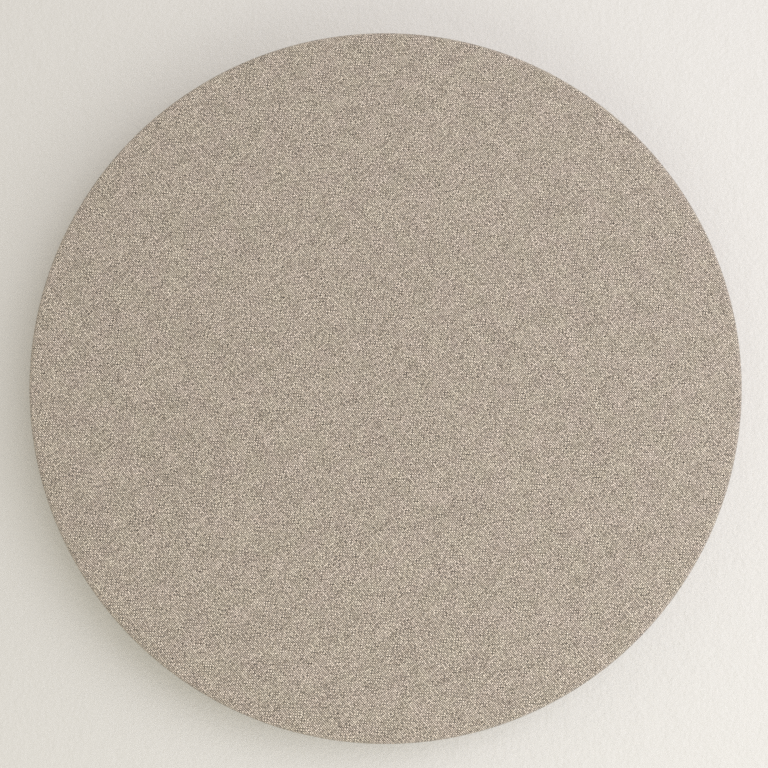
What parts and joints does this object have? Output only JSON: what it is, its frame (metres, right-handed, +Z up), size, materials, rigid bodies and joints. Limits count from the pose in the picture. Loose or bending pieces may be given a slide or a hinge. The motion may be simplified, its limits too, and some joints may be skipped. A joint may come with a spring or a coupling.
{
  "type": "fabric-covered wall panel",
  "caption": "Round backdrop panel: coarse woven cloth stretched over a stiff plywood hoop with a fibre core, hung on an interlocking wall cleat.",
  "frame": {"origin": "on the wall, midway between the wall cleat's two screw holes", "axes": "+Z up, +X to the right seen from the front, the face looks along -Y and the wall is the plane Y = 0"},
  "size_m": [0.6, 0.0595, 0.6],
  "materials": {
    "weave": "coarse slubby plain weave, matt",
    "felt": "soft needled felt",
    "board": "pressed fibre board",
    "wool": "mineral wool",
    "plywood": "sanded birch plywood",
    "steel": "zinc-plated",
    "staple_wire": "galvanised",
    "scrim": "black non-woven",
    "cleat_metal": "mill-finish extrusion",
    "foot_rubber": "matt moulded rubber"
  },
  "bodies": {
    "wall_side": {"wall_cleat": "cleat_metal"},
    "panel": {"cover_cloth": "weave", "face_wadding": "felt", "impact_layer": "board", "absorber_core": "wool", "rim_hoop": "plywood", "rim_splice": "plywood", "upper_rail": "plywood", "lower_rail": "plywood", "splice_screws": "steel", "rail_end_screws": "steel", "back_scrim": "scrim", "cover_staples": "staple_wire", "scrim_staples": "staple_wire", "panel_cleat": "cleat_metal", "panel_cleat_screws": "steel", "left_bumper": "foot_rubber", "right_bumper": "foot_rubber", "bumper_screws": "steel"}
  },
  "joints": [
    {"name": "panel_lift", "type": "slide", "parent": "wall_side", "child": "panel", "axis": [0, 0, 1], "range_m": [0, 0.014]}
  ]
}
